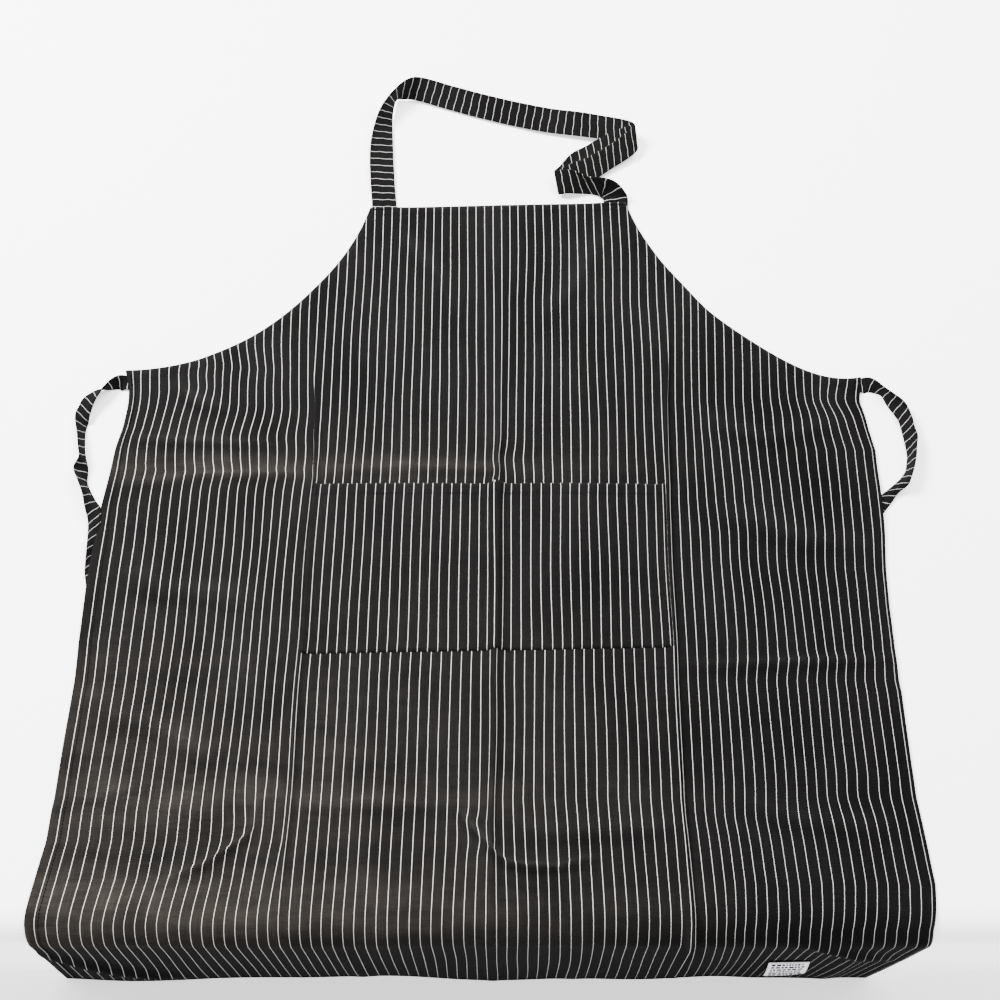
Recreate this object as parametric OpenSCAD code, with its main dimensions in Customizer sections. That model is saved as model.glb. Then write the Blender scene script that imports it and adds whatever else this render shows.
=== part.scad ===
// Bib apron of chalk-striped cloth, laid on a counter with the foot of its skirt hanging over the front edge.
// Millimetres. +X to the apron's right as it lies face up, +Y towards the neck, +Z up.
// The origin is under the middle of the whole apron, level with the bottom hem.

/* [Body] */
// Width of the body from side edge to side edge
body_w = 711; // [690:1:720]
// Width of the bib along its top edge
bib_w = 260; // [240:1:280]
// Y of the bib's top edge
bib_y = 284; // [280:1:288]
// Y of the two waist corners, where the armholes meet the side edges
waist_y = 77.5; // [70:0.5:85]
// Y of the front face of the hanging skirt
front_y = -443; // [-450:0.5:-440]
// Height of the counter top above the bottom hem
drop = 165; // [120:1:220]
// Outer radius of the bend over the counter's edge
bend_r = 22; // [14:1:30]

/* [Cloth] */
// Thickness of one layer, as this stand-in makes it
cloth_t = 1.6; // [1.2:0.1:2]
// Thickness of a turned and stitched hem
hem_t = 2.8; // [2.4:0.1:3]
// Width of the hems
hem_w = 11; // [9:0.5:14]
// Height of the hem's underside over the counter, where ties and strap ends lie
lift = 2; // [2:0.1:3]

/* [Pocket] */
// Width of the patch that makes both pockets
pocket_w = 324; // [300:1:340]
// Length of the patch from mouth to bottom seam
pocket_h = 165; // [140:1:180]
// Y of the pocket's mouth
pocket_y = -40; // [-50:1:-30]
// Height of the space inside each pocket
pocket_gap = 6.2; // [5.6:0.1:7]
// Thickness of the patch
patch_t = 1.4; // [1:0.1:2]
// Width of the sewn margin round the patch and of the seam between the pockets
seam_w = 3; // [2:0.5:5]
// Width of the turned edge inside the pocket's mouth
mouth_w = 11; // [9:0.5:14]

/* [Strap and ties] */
// Width of the neck strap
strap_w = 25; // [22:0.5:26]
// Width of the waist ties
tie_w = 16; // [14:0.5:16]
// Thickness of the strap and of the ties
band_t = 1.2; // [0.8:0.1:1.2]

/* [Label] */
// Width of the care label
label_w = 33; // [26:1:50]
// Length of the care label below its seam
label_h = 58; // [40:1:60]
// X of the label's middle
label_x = 240; // [200:1:280]
// Height of the label's seam above the bottom hem
label_z = 88; // [80:1:100]

/* [Thread] */
// Width of a line of stitching
thread_w = 0.8; // [0.6:0.1:1.2]
// How far stitching stands off the cloth
thread_t = 0.5; // [0.3:0.1:0.6]
// Distance of a hem's stitching from the edge
stitch_in = 9.2; // [8:0.1:10]

/* [Hidden] */
$fn = 96;

CLOTH = [0.11, 0.11, 0.12];
HEM = [0.15, 0.15, 0.16];
THREAD = [0.32, 0.32, 0.34];
BAND = [0.19, 0.19, 0.20];
WHITE = [0.93, 0.93, 0.91];

half_w = body_w / 2;
hem_z = drop + lift;                 // underside of the hems
top_z = hem_z + hem_t;               // upper face of the cloth
bend_y = front_y + bend_r;           // axis of the bend
bend_z = top_z - bend_r;
core_y = bib_y - hem_w;              // edge of the cloth inside the top hem
core_x = half_w - hem_w;             // edge of the cloth inside a side hem
patch_z = top_z + pocket_gap;        // underside of the pocket patch
ARM_STEPS = 28;
RUN_STEPS = 3;                       // rings between two points of a strap's route
label_gap = 0.3;
label_t = 0.8;

// The armhole's edge is one curve from the bib's corner to the waist corner, drawn on the right side.
arm = [[bib_w / 2, bib_y], [bib_w / 2 + 36, bib_y - 114], [half_w - 80, waist_y - 4], [half_w, waist_y]];
function bez(p, t) = pow(1 - t, 3) * p[0] + 3 * pow(1 - t, 2) * t * p[1]
    + 3 * (1 - t) * t * t * p[2] + pow(t, 3) * p[3];
function bez_dir(p, t) = let (d = pow(1 - t, 2) * (p[1] - p[0]) + 2 * (1 - t) * t * (p[2] - p[1])
    + t * t * (p[3] - p[2])) d / norm(d);
function arm_at(t, inset) = let (d = bez_dir(arm, t)) bez(arm, t) + inset * [d[1], -d[0]];
function arm_line(inset) = [for (i = [0:ARM_STEPS]) arm_at(i / ARM_STEPS, inset)];
function reversed(list) = [for (i = [len(list) - 1:-1:0]) list[i]];
function flipped(list) = [for (p = list) [-p[0], p[1]]];

// Routes of the strap and ties: x, y, height over the counter, then the direction across the band.
// These three lists, and the two inner control points of arm above, come from scratch programs that worked
// on positions seen in the photo. They are rounded, but they were not designed by hand; see report.md.
strap_route = [
    [-118, 274, 1, -10, 0, 0], [-118, 286, 1, -10, 0, 0], [-121, 318, 4, -10, 0, 1],
    [-123, 356, 7, -9, -2, 3], [-122, 386, 10, -7, -4, 6], [-118, 408, 13, -4, -5, 8],
    [-110, 426, 14, 0, -3, 10], [-98, 435, 14, 3, 4, 9], [-84, 436, 12, 3, 6, 7],
    [-53, 423, 11, 3, 6, 7], [-16, 410, 11, 2, 7, 7], [16, 400, 11, 2, 7, 7],
    [52, 390, 11, 2, 7, 7], [87, 383, 12, 1, 7, 8], [118, 377, 14, 1, 6, 8],
    [136, 371, 18, 0, 5, 9], [143, 361, 20, -1, 4, 9], [137, 352, 19, -3, 5, 8],
    [120, 344, 17, -4, 5, 7], [102, 338, 16, -5, 6, 6], [84, 331, 15, -6, 7, 4],
    [68, 323, 13, -5, 8, 3], [57, 315, 9, -3, 9, 2], [66, 310, 4, -2, 10, 1],
    [80, 308, 4, -1, 10, 2], [94, 306, 8, 0, 9, 5], [106, 300, 11, 4, 6, 8],
    [116, 293, 8, 9, 2, 3], [118, 286, 1, 10, 0, 0], [118, 274, 1, 10, 0, 0]
];
left_route = [
    [-343, 68, 1, 0, 10, 0], [-360, 68, 1, 0, 10, 0], [-371, 63, 5, 0, 2, 10],
    [-379, 53, 8, -3, 0, 9], [-383, 42, 8, -6, 3, 7], [-385, 28, 6, -9, 1, 4],
    [-384, 8, 8, -2, -3, 9], [-382, -10, 9, 1, -2, 10], [-382, -26, 9, -2, -2, 10],
    [-377, -42, 9, 0, -1, 10], [-370, -62, 8, -3, 0, 8], [-366, -82, 5, -8, 0, 4],
    [-364, -104, 1, -10, 0, 0], [-354, -130, 1, -10, -3, 0], [-341, -165, 1, -10, -3, 0],
    [-328, -215, 1, -10, -2, 0], [-318, -270, 1, -10, -1, 0], [-313, -330, 1, -10, 0, 0],
    [-309, -378, 1, -10, 0, 0], [-298, -396, 1, 0, -10, 0], [-287, -378, 1, 10, 0, 0],
    [-288, -320, 1, 10, 0, 0], [-290, -260, 1, 10, 0, 0], [-292, -195, 1, 10, 0, 0]
];
right_route = [
    [343, 68, 1, 0, 10, 0], [360, 67, 1, 0, 10, 0], [369, 60, 5, 1, 2, 9],
    [374, 50, 8, 3, -1, 9], [380, 38, 8, 5, 1, 8], [386, 23, 7, 6, -1, 8],
    [388, 4, 8, 3, -3, 9], [385, -13, 9, 1, -3, 9], [375, -29, 9, 0, -4, 9],
    [367, -42, 6, 2, -9, 6], [357, -50, 1, 1, -10, 0], [338, -56, 1, 2, -10, 0],
    [318, -64, 1, 4, -9, 0], [298, -82, 1, 8, -6, 0], [289, -115, 1, 10, -1, 0],
    [287, -170, 1, 10, 0, 0], [289, -240, 1, 10, 0, 0], [293, -310, 1, 10, 1, 0],
    [298, -376, 1, 10, 0, 0], [287, -396, 1, 0, -10, 0], [276, -376, 1, -10, 0, 0],
    [271, -310, 1, -10, 0, 0], [267, -240, 1, -10, 0, 0], [265, -185, 1, -10, 0, 0]
];

function between(a, b, c, d, t) = 0.5 * (2 * b + (c - a) * t + (2 * a - 5 * b + 4 * c - d) * t * t
    + (3 * b - a - 3 * c + d) * t * t * t);
function knot(r, i) = r[max(0, min(len(r) - 1, i))];
function smooth(r) = [
    for (i = [0:len(r) - 2], j = [0:RUN_STEPS - 1])
        between(knot(r, i - 1), r[i], r[i + 1], knot(r, i + 2), j / RUN_STEPS),
    r[len(r) - 1]
];
function place(p) = [p[0], p[1], p[2] + drop];
function unit(v) = v / norm(v);
// At each ring: the middle, the direction across the band and the direction out of its face
function ring(s, i) = let (
    m = place(s[i]),
    along = unit(place(s[min(i + 1, len(s) - 1)]) - place(s[max(i - 1, 0)])),
    w = [s[i][3], s[i][4], s[i][5]],
    across = unit(w - (w * along) * along)
) [m, across, cross(along, across)];

// A band that follows a route. a0 and a1 are its edges across the route, n0 and n1 its two faces.
module band(route, a0, a1, n0, n1, first = 0, last = 0) {
    s = smooth(route);
    rings = [for (i = [first:len(s) - 1 - last]) ring(s, i)];
    corners = [[a0, n0], [a1, n0], [a1, n1], [a0, n1]];
    n = len(rings);
    polyhedron(
        points = [for (r = rings, c = corners) r[0] + c[0] * r[1] + c[1] * r[2]],
        faces = concat(
            [[0, 1, 2], [0, 2, 3]],
            [for (i = [0:n - 2], k = [0:3], half = [0, 1]) let (
                a = 4 * i + k, b = 4 * i + (k + 1) % 4)
                half == 0 ? [a, a + 4, b + 4] : [a, b + 4, b]],
            [[4 * n - 4, 4 * n - 2, 4 * n - 3], [4 * n - 4, 4 * n - 1, 4 * n - 2]]
        )
    );
}

// Cloth between two depths under the upper face, round the bend and down the front.
module bend_and_front(deep0, deep1, x0, x1, z_end) {
    translate([x1, bend_y, bend_z]) rotate([90, 0, 0]) rotate([0, -90, 0])
        rotate_extrude(angle = 90)
            translate([bend_r - deep1, 0]) square([deep1 - deep0, x1 - x0]);
    translate([x0, front_y + deep0, z_end]) cube([x1 - x0, deep1 - deep0, bend_z - z_end]);
}

module flat(deep0, deep1) {
    translate([0, 0, top_z - deep1]) linear_extrude(deep1 - deep0) children();
}

module right_arm_band_2d() {
    intersection() {
        polygon(concat(arm_line(0), reversed(arm_line(hem_w))));
        translate([0, -bib_y]) square([half_w, bib_y + core_y]);
    }
}

module body_panel() {
    inner = arm_line(hem_w);
    color(CLOTH) union() {
        flat(0, cloth_t) intersection() {
            polygon(concat([[half_w, bend_y], [-half_w, bend_y]], reversed(flipped(inner)), inner));
            translate([-core_x, bend_y]) square([2 * core_x, core_y - bend_y]);
        }
        bend_and_front(0, cloth_t, -core_x, core_x, hem_w);
    }
}

module bib_top_hem() {
    line = arm_line(0);
    color(HEM) flat(0, hem_t) intersection() {
        polygon(concat(reversed(flipped(line)), line));
        translate([-half_w, core_y]) square([body_w, hem_w]);
    }
}

module right_armhole_hem() {
    color(HEM) flat(0, hem_t) right_arm_band_2d();
}

module left_armhole_hem() {
    mirror([1, 0, 0]) right_armhole_hem();
}

module right_side_hem() {
    color(HEM) union() {
        flat(0, hem_t) difference() {
            translate([core_x, bend_y]) square([hem_w, waist_y - bend_y - hem_w / 2]);
            right_arm_band_2d();
        }
        bend_and_front(0, hem_t, core_x, half_w, hem_w);
    }
}

module left_side_hem() {
    mirror([1, 0, 0]) right_side_hem();
}

module bottom_hem() {
    color(HEM) translate([-half_w, front_y, 0]) cube([body_w, hem_t, hem_w]);
}

// One patch is sewn down along its sides, its bottom and its middle, which makes two pockets.
module pocket_patch() {
    hollow_w = (pocket_w - 3 * seam_w) / 2;
    color(CLOTH) translate([-pocket_w / 2, pocket_y - pocket_h, top_z]) difference() {
        cube([pocket_w, pocket_h, pocket_gap + patch_t]);
        for (x = [seam_w, 2 * seam_w + hollow_w])
            translate([x, seam_w, -1]) cube([hollow_w, pocket_h, pocket_gap + 1]);
    }
}

module pocket_mouth_hem() {
    hollow_w = (pocket_w - 3 * seam_w) / 2;
    color(HEM) for (x = [-hollow_w - seam_w / 2, seam_w / 2])
        translate([x, pocket_y - mouth_w, patch_z - band_t]) cube([hollow_w, mouth_w, band_t]);
}

module thread_on_top(x, y, z, w, l) {
    translate([x, y, z]) cube([w, l, thread_t]);
}

module bib_hem_stitching() {
    reach = bib_w / 2 - 4;
    color(THREAD) thread_on_top(-reach, bib_y - stitch_in, top_z, 2 * reach, thread_w);
}

module right_armhole_stitching() {
    color(THREAD) flat(-thread_t, 0) intersection() {
        polygon(concat(arm_line(stitch_in), reversed(arm_line(stitch_in + thread_w))));
        translate([0, 0]) square([half_w - stitch_in - 1, bib_y - stitch_in - 1]);
    }
}

module left_armhole_stitching() {
    mirror([1, 0, 0]) right_armhole_stitching();
}

module right_side_stitching() {
    x0 = half_w - stitch_in - thread_w / 2;
    color(THREAD) union() {
        thread_on_top(x0, bend_y, top_z, thread_w, waist_y - stitch_in - 2 - bend_y);
        bend_and_front(-thread_t, 0, x0, x0 + thread_w, stitch_in + 2);
    }
}

module left_side_stitching() {
    mirror([1, 0, 0]) right_side_stitching();
}

module bottom_hem_stitching() {
    reach = half_w - 3;
    color(THREAD) translate([-reach, front_y - thread_t, stitch_in]) cube([2 * reach, thread_t, thread_w]);
}

module pocket_mouth_stitching() {
    reach = pocket_w / 2 - seam_w;
    color(THREAD)
        thread_on_top(-reach, pocket_y - stitch_in, patch_z + patch_t, 2 * reach, thread_w);
}

module pocket_edge_stitching() {
    z = patch_z + patch_t;
    x = pocket_w / 2 - seam_w / 2;
    y = pocket_y - pocket_h + seam_w / 2;
    color(THREAD) union() {
        for (side = [-1, 1])
            thread_on_top(side * x - thread_w / 2, y, z, thread_w, pocket_h - seam_w - 12);
        thread_on_top(-x, y - thread_w / 2, z, 2 * x, thread_w);
    }
}

module pocket_divider_stitching() {
    y = pocket_y - pocket_h + seam_w;
    color(THREAD)
        thread_on_top(-thread_w / 2, y, patch_z + patch_t, thread_w, pocket_h - seam_w - stitch_in - 1);
}

// Short dense bars of stitching that hold the pocket's two top corners
module pocket_bartacks() {
    color(THREAD) for (side = [-1, 1])
        thread_on_top(side * (pocket_w / 2 - seam_w / 2) - 1, pocket_y - 11.5, patch_z + patch_t, 2, 11);
}

module strap_end_bartacks() {
    color(THREAD) for (side = [-1, 1])
        thread_on_top(side * 118 - 10, bib_y - 4, top_z, 20, 2);
}

module right_tie_bartack() {
    color(THREAD) thread_on_top(half_w - 5, 62, top_z, 2, 11);
}

module left_tie_bartack() {
    mirror([1, 0, 0]) right_tie_bartack();
}

module neck_strap() {
    color(BAND) band(strap_route, -strap_w / 2, strap_w / 2, -band_t / 2, band_t / 2);
}

// One line of stitching closes each folded band, close to its edge.
module neck_strap_stitching() {
    a = strap_w / 2 - 2.4;
    color(THREAD) band(strap_route, a, a + thread_w, band_t / 2, band_t / 2 + 0.4, 4, 4);
}

module left_tie() {
    color(BAND) band(left_route, -tie_w / 2, tie_w / 2, -band_t / 2, band_t / 2);
}

module left_tie_stitching() {
    a = tie_w / 2 - 2.4;
    color(THREAD) band(left_route, a, a + thread_w, band_t / 2, band_t / 2 + 0.4, 4, 1);
}

module right_tie() {
    color(BAND) band(right_route, -tie_w / 2, tie_w / 2, -band_t / 2, band_t / 2);
}

module right_tie_stitching() {
    a = tie_w / 2 - 2.4;
    color(THREAD) band(right_route, a, a + thread_w, -band_t / 2 - 0.4, -band_t / 2, 4, 1);
}

module care_label() {
    color(WHITE) translate([label_x - label_w / 2, front_y - label_gap - label_t, label_z - label_h])
        cube([label_w, label_t, label_h]);
}

module care_label_stitching() {
    color(THREAD)
        translate([label_x - label_w / 2 + 2, front_y - label_gap - label_t - 0.4, label_z - 3])
            cube([label_w - 4, 0.4, thread_w]);
}

body_panel();
bib_top_hem();
left_armhole_hem();
right_armhole_hem();
left_side_hem();
right_side_hem();
bottom_hem();
pocket_patch();
pocket_mouth_hem();
bib_hem_stitching();
left_armhole_stitching();
right_armhole_stitching();
left_side_stitching();
right_side_stitching();
bottom_hem_stitching();
pocket_mouth_stitching();
pocket_edge_stitching();
pocket_divider_stitching();
pocket_bartacks();
strap_end_bartacks();
left_tie_bartack();
right_tie_bartack();
neck_strap();
neck_strap_stitching();
left_tie();
left_tie_stitching();
right_tie();
right_tie_stitching();
care_label();
care_label_stitching();
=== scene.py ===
import math
import random

import bpy
import numpy as np
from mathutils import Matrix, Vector
from mathutils.geometry import delaunay_2d_cdt


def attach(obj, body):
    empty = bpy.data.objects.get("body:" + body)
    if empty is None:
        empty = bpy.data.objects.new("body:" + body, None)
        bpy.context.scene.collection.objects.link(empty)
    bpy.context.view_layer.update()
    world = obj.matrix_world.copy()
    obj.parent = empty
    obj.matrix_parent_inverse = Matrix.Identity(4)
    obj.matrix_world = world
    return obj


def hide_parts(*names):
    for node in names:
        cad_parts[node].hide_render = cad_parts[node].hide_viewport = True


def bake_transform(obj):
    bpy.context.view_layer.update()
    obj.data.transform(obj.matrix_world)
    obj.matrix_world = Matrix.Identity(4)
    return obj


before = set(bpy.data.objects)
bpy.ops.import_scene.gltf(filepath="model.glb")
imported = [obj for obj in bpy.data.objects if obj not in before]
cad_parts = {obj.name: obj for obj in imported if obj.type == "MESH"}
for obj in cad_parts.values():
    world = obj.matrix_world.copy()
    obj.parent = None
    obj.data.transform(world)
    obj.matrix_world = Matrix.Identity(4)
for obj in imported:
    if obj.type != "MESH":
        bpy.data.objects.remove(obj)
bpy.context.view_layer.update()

random.seed(7)
scene = bpy.context.scene
MM = 0.001

# ---------------------------------------------------------------- camera
cam_data = bpy.data.cameras.new("camera")
cam_data.lens = 50.4
cam_data.sensor_width = 36.0
cam_data.clip_end = 20.0
cam = bpy.data.objects.new("camera", cam_data)
cam.location = (0.0, -0.650, 1.286)
cam.rotation_euler = (math.radians(28.0), 0.0, 0.0)
scene.collection.objects.link(cam)
scene.camera = cam

# ---------------------------------------------------------------- sizes, in millimetres
COUNTER = 165.0          # counter top
BEND_Y = -415.6          # axis of the bend over the counter's edge
BEND_R = 27.0            # radius of the cloth's middle round the bend
MID_Z = 168.6            # height of the cloth's middle where it lies flat
BEND_Z = MID_Z - BEND_R
ARC = BEND_R * math.pi / 2
BIB_Y = 284.0
BIB_HALF = 130.0
WAIST_Y = 77.5
LEFT_SIDE, RIGHT_SIDE = -363.8, 356.5   # the cut's side edges; the folds take up some of this as it lies
FOOT_V = BEND_Y - ARC - (BEND_Z - 0.6)
HEM = 11.0
SEAM = 9.3               # stitching from the edge
PITCH = 8.55             # stripe to stripe
STRIPE_0 = 11.5          # a stripe's place from the middle of the cut
POCKET = (-170.0, 157.0, -205.0, -41.0)
CLOTH_T = 0.7            # thickness of one layer
STRAP_X = 118            # middle of each strap end on the bib
TIE_Y = 67.5             # middle of each tie's end at the waist
STRAP_W, TIE_W = 25.0, 16.0
FOLD_RISE = 1.12         # a fold's side is longer than its reach by its height times this
LABEL_X, LABEL_Y, LABEL_Z = 238.5, -443.0, 87.5
LABEL_W, LABEL_H = 33.0, 58


def step(x, a, b):
    t = np.clip((x - a) / (b - a), 0.0, 1.0)
    return t * t * (3 - 2 * t)


def bump(x, c, w):
    return np.exp(-(((x - c) / w) ** 2))


def along(v, *pairs):
    """A value that changes smoothly with v through a few (v, value) pairs, given from the neck down."""
    vs = [p[0] for p in pairs][::-1]
    fs = [p[1] for p in pairs][::-1]
    return np.interp(v, vs, fs)


# ---------------------------------------------------------------- the cut
# The inner control points come from a scratch program that searched for the best match; see report.md.
def arm_point(t, side):
    a, d = (BIB_HALF, BIB_Y), (RIGHT_SIDE if side > 0 else -LEFT_SIDE, WAIST_Y)
    b, c = ((152, 182), (298, 61)) if side > 0 else ((164, 160), (272, 77))
    a, b, c, d = (np.array(p) for p in (a, b, c, d))
    x, y = (1 - t) ** 3 * a + 3 * (1 - t) ** 2 * t * b + 3 * (1 - t) * t * t * c + t**3 * d
    return (side * x, y)


def straight(a, b, gap=4.0):
    n = max(1, int(round(math.dist(a, b) / gap)))
    return [(a[0] + (b[0] - a[0]) * i / n, a[1] + (b[1] - a[1]) * i / n) for i in range(n + 1)]


right_arm = [arm_point(i / 84, 1) for i in range(85)]
left_arm = [arm_point(i / 84, -1) for i in range(85)][::-1]
EDGES = {
    "bib_top": straight((-BIB_HALF, BIB_Y), (BIB_HALF, BIB_Y)),
    "right_arm": right_arm,
    "right_side": straight((RIGHT_SIDE, WAIST_Y), (RIGHT_SIDE, FOOT_V)),
    "bottom": straight((RIGHT_SIDE, FOOT_V), (LEFT_SIDE, FOOT_V)),
    "left_side": straight((LEFT_SIDE, FOOT_V), (LEFT_SIDE, WAIST_Y)),
    "left_arm": left_arm,
}
OUTLINE = []
for key in ("bib_top", "right_arm", "right_side", "bottom", "left_side", "left_arm"):
    OUTLINE += EDGES[key][:-1]
OUTLINE = np.array(OUTLINE)


def from_edge(u, v):
    """Distance to the cut's edge."""
    a = OUTLINE
    b = np.roll(OUTLINE, -1, axis=0)
    best = np.full(len(u), 1e9)
    for (ax, ay), (bx, by) in zip(a[::2], a[(np.arange(0, len(a), 2) + 2) % len(a)]):
        dx, dy = bx - ax, by - ay
        t = np.clip(((u - ax) * dx + (v - ay) * dy) / (dx * dx + dy * dy + 1e-9), 0, 1)
        best = np.minimum(best, (u - ax - t * dx) ** 2 + (v - ay - t * dy) ** 2)
    return np.sqrt(best)


# ---------------------------------------------------------------- how it lies
def fold(w, height, b1, b2):
    """A fold's ridge: w is the distance across it in the cloth, b1 and b2 how far its two sides reach
    over the counter. Returns the height and how much of the width it has taken up."""
    l1 = np.sqrt(b1 * b1 + (FOLD_RISE * height) ** 2)
    l2 = np.sqrt(b2 * b2 + (FOLD_RISE * height) ** 2)
    side = w > 0
    length = np.where(side, l2, l1)
    s = np.clip(np.abs(w) / np.maximum(length, 0.01), 0, 1)
    r = np.sqrt(s * s + 0.006) - 0.0775
    h = height * np.clip(1 - 1.5 * r + 0.5 * r**3, 0, 1)
    q = (s - 2 * s**3 / 3 + s**5 / 5) * 15 / 8
    taken = np.where(side, (l1 - b1) + (l2 - b2) * q, (l1 - b1) * (1 - q))
    return h, taken


def path_ridge(u, v, pts, height, width, sharp=1.0):
    """A ridge along a bent line."""
    best = np.full(len(u), 1e9)
    place = np.zeros(len(u))
    total = sum(math.dist(a, b) for a, b in zip(pts, pts[1:]))
    run = 0.0
    for (ax, ay), (bx, by) in zip(pts, pts[1:]):
        dx, dy = bx - ax, by - ay
        t = np.clip(((u - ax) * dx + (v - ay) * dy) / (dx * dx + dy * dy), 0, 1)
        d = (u - ax - t * dx) ** 2 + (v - ay - t * dy) ** 2
        here = (run + t * math.hypot(dx, dy)) / total
        place = np.where(d < best, here, place)
        best = np.minimum(best, d)
        run += math.hypot(dx, dy)
    d = np.sqrt(best) / width
    ends = np.sin(np.pi * np.clip(place, 0.02, 0.98)) ** 0.6
    return height * ends * np.exp(-(d ** (2.0 / sharp)))


WAVES = [(random.uniform(-1, 1), random.uniform(-1, 1), random.uniform(0, 6.3)) for _ in range(24)]


def roll(u, v, first, count, size):
    """Slow unevenness from a few crossing waves."""
    out = np.zeros(len(u))
    for a, b, c in WAVES[first : first + count]:
        out = out + np.sin((a * u + b * v * 0.7) * 6.283 / size + c)
    return out / math.sqrt(count)


# Pairs of (v, value) for along(). Most of the shifts come from differences between renders and the photo
# that a scratch program printed, some changed by eye afterwards; see report.md.
DRIFT = (
    (284, -1.5), (165, -0.5), (80, 0.4), (0, 0.2), (-57, -1.2), (-190, -1.6), (-229, -2.6), (-330, -3.2),
    (-395, -4.6), (-435, -5.6),
)
MIDDLE_AT = ((284, 3.5), (0, 1.0), (-229, 0.5), (-426, -1.6))
MIDDLE_HIGH = (
    (290, 0.2), (220, 1.5), (165, 4.0), (50, 6.0), (-10, 7.0), (-330, 7.6), (-385, 4.6), (-430, 1.4),
    (-480, 0.6),
)
LEFT_AT = ((200, -186), (120, -181), (50, -175), (-60, -172), (-300, -171), (-440, -170))
LEFT_HIGH = ((150, 0.2), (80, 3.0), (40, 4.6), (-60, 5.0), (-365, 5.0), (-425, 1.0), (-460, 0.2))
RIGHT_AT = ((200, 172), (50, 163), (-60, 160), (-300, 158.5), (-440, 158.5))
RIGHT_HIGH = (
    (190, 0.2), (110, 2.6), (50, 4.4), (-60, 5.4), (-365, 6.2), (-440, 5.6), (-500, 3.0), (-590, 0.3),
)
RIGHT_HALF = ((230, 0.4), (165, 1.0), (80, 1.4), (50, 1.2), (0, 0.8), (-45, 0.0))
LEFT_OF_POCKET = (
    (165, 0.5), (112, 1.2), (84, 4.6), (50, 1.0), (0, 0.4), (-57, 3.2), (-100, 4.6), (-200, 4.6),
    (-229, 4.2), (-340, 0.6), (-370, 1.8), (-395, 3.0), (-430, -0.5),
)
LEFT_EDGE = (
    (90, 3.6), (50, -3.4), (20, -2.6), (0, 0.0), (-60, 6.2), (-126, 6.6), (-193, 6.8), (-229, 4.0),
    (-330, 1.2), (-365, 2.6), (-395, 4.8), (-435, 2.4),
)
LEFT_HEM = ((90, 0.0), (60, 6.0), (20, 5.0), (0, 4.2), (-57, 3.0), (-100, 0.0))
RIGHT_OF_POCKET = (
    (165, 4.0), (50, 4.4), (20, 4.0), (-4, 2.4), (-57, 0.6), (-90, -1.4), (-193, -1.8), (-229, 0.8),
    (-300, 0.8), (-365, 1.8), (-400, 1.8), (-435, 4.6),
)
RIGHT_EDGE = (
    (90, 2.6), (50, 3.4), (20, -0.4), (-4, -4.0), (-60, -2.0), (-126, 3.9), (-160, 5.2), (-200, 5.0),
    (-240, 2.2), (-300, 1.6), (-330, 0.2), (-365, -1.2), (-400, -1.2), (-435, 1.6),
)
RIGHT_HEM = ((40, 0.0), (-100, 2.0), (-190, 2.0), (-240, 0.0))


def fields(u, v):
    """Sideways shift, lengthwise shift and height of the laid cloth."""
    x = u + along(v, *DRIFT)
    h0, t0 = fold(u - along(v, *MIDDLE_AT), along(v, *MIDDLE_HIGH), 10.0, 10.5)
    # the folds beside the pocket
    inner, outer = 2.2, 8.0
    left_high = along(v, *LEFT_HIGH)
    h1, t1 = fold(u - along(v, *LEFT_AT), left_high, inner, outer)
    h2, t2 = fold(u - along(v, *RIGHT_AT), along(v, *RIGHT_HIGH), 8.5, 2.6)
    # all that the left fold takes up is drawn from the left side
    total = np.sqrt(inner**2 + (FOLD_RISE * left_high) ** 2) - inner
    total = total + np.sqrt(outer**2 + (FOLD_RISE * left_high) ** 2) - outer
    x = x - t0 - t2 + (total - t1)
    # cloth pulled towards the edges
    x = x - 1.3 * step(u, 0, 30) * along(v, *RIGHT_HALF)
    x = x + step(-u, 190, 250) * along(v, *LEFT_OF_POCKET)
    x = x - step(-u, 290, 365) * along(v, *LEFT_EDGE)
    x = x + step(-u, 350, 367) * along(v, *LEFT_HEM)
    x = x - step(u, 175, 215) * along(v, *RIGHT_OF_POCKET)
    x = x - step(u, 240, 330) * along(v, *RIGHT_EDGE)
    x = x - step(u, 342, 358) * along(v, *RIGHT_HEM)
    y = v + 3.4 * step(v, 180, 284) * u / 130.0
    y = y + step(-u, 200, 300) * bump(v, 85, 40) * 6.0 - step(u, 200, 300) * bump(v, 80, 40) * 2.0
    return x, y, h0 + h1 + h2


def wander(u, v):
    """Small sideways wander of the threads."""
    w = 0.55 * roll(u, v, 0, 5, 150.0) + 0.35 * roll(u, v, 5, 5, 75.0)
    quiet = 1 - 0.5 * step(v, 150, 284)
    w = w * quiet
    # kinks where the folded cloth was pressed: u, v, shift, reach along u and along v
    for u0, v0, a, su, sv in (
        (-262, 44, 2.4, 52, 17),
        (-226, 12, -2.2, 46, 13),
        (-255, -28, 3.0, 70, 11),
        (-305, 52, 2.2, 26, 13),
        (-200, -24, -1.4, 36, 7),
        (-330, 8, -2.0, 30, 22),
        (-20, -349, -1.3, 11, 6),
        (-12, -366, 1.2, 14, 7),
        (300, 34, 3.2, 40, 24),
        (338, 52, -4.0, 22, 16),
        (262, -118, -2.4, 60, 30),
        (290, -212, 2.0, 60, 12),
        (-214, -352, 2.4, 26, 16),
        (230, -345, -1.8, 60, 14),
        (16, -14, -1.8, 16, 12),
        (-300, 88, 2.6, 20, 14),
        (-296, 62, 3.4, 26, 13),
        (310, -328, -2.2, 34, 14),
        (-6, -28, 1.6, 9, 8),
    ):
        w = w + a * np.exp(-(((u - u0) / su) ** 2) - ((v - v0) / sv) ** 2)
    return w


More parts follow.
